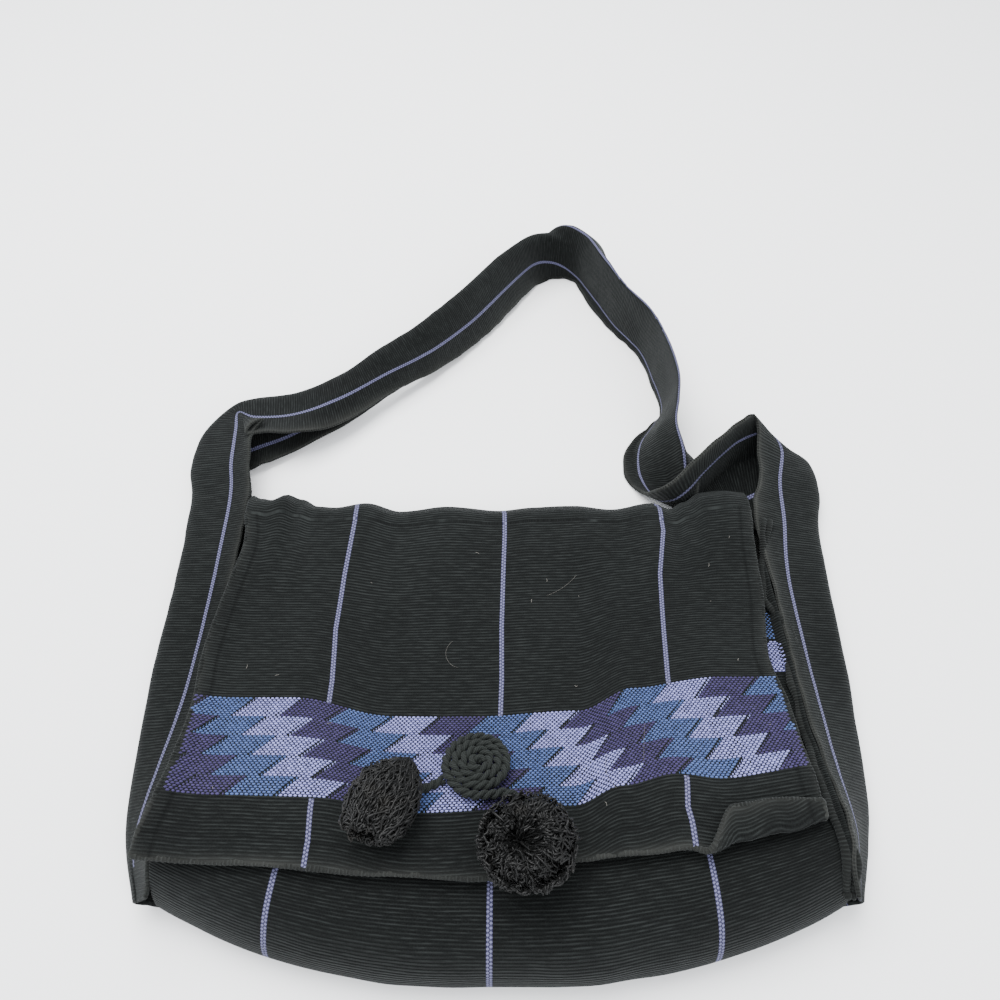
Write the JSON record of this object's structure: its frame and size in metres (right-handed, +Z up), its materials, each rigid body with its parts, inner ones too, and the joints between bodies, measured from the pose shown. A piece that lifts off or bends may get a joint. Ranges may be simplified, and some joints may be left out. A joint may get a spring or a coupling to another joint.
{
  "type": "shoulder bag",
  "caption": "Soft woven shoulder bag with side gussets, a wide strap, a front flap with a woven band, a coiled cord button and tassels, lying on its back.",
  "frame": {"origin": "on the table, under the middle of the whole, strap included", "axes": "+X across the bag to the viewer's right, +Y from the bottom edge toward the strap, +Z up from the table through the front"},
  "size_m": [0.4376, 0.5532, 0.0694],
  "materials": {
    "cloth": "ribbed weave",
    "cord": "twisted cord",
    "thread": "loose threads"
  },
  "bodies": {
    "root": {"body_cloth": "cloth", "gusset_strap": "cloth", "coil_button": "cord", "tassel_left": "thread", "tassel_right": "thread"}
  },
  "joints": []
}
